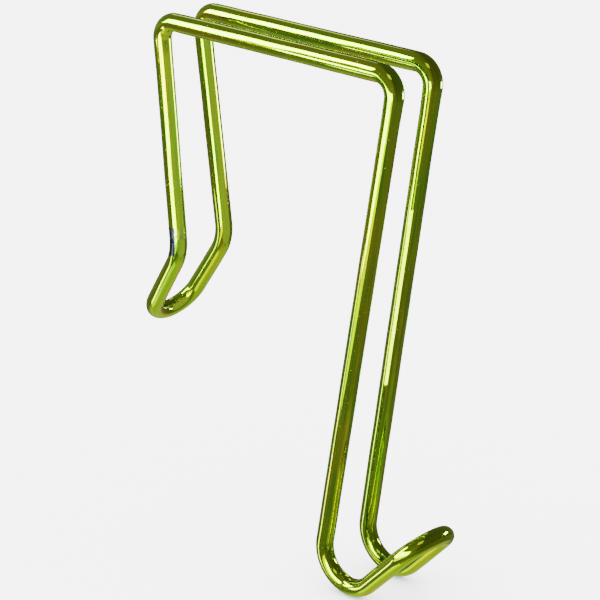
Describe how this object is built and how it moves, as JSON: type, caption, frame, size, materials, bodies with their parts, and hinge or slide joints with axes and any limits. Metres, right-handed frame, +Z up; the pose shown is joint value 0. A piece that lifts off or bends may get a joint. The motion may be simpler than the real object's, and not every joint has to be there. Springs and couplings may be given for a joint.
{
  "type": "over-panel wire hook",
  "caption": "Double wire hook that hangs over the top of an office panel: top bars, rear legs with a tail, long front legs and an upturned hook, in one bent wire loop.",
  "frame": {"origin": "on the panel's top edge, under the middle of the two top bars, halfway between the wire's two sides", "axes": "+Z up; +X towards the panel's front, where the hook is; +Y to the right as seen from the front, across the wire's two sides"},
  "size_m": [0.1026, 0.0215, 0.1432],
  "materials": {
    "lacquered_wire": "glossy clear yellow-green lacquer over bright plated steel wire",
    "weld_zone": "ground and heat-tinted steel under the same lacquer, dull blue-grey and green"
  },
  "bodies": {
    "root": {"left_tail_arm": "lacquered_wire", "left_tail_bend": "lacquered_wire", "butt_weld": "weld_zone", "left_rear_leg": "lacquered_wire", "left_rear_top_bend": "lacquered_wire", "left_top_bar": "lacquered_wire", "left_front_top_bend": "lacquered_wire", "left_front_leg": "lacquered_wire", "left_hook_bend": "lacquered_wire", "left_hook_arm": "lacquered_wire", "right_tail_arm": "lacquered_wire", "right_tail_bend": "lacquered_wire", "right_rear_leg": "lacquered_wire", "right_rear_top_bend": "lacquered_wire", "right_top_bar": "lacquered_wire", "right_front_top_bend": "lacquered_wire", "right_front_leg": "lacquered_wire", "right_hook_bend": "lacquered_wire", "right_hook_arm": "lacquered_wire", "tail_loop": "lacquered_wire", "hook_loop": "lacquered_wire"}
  },
  "joints": []
}
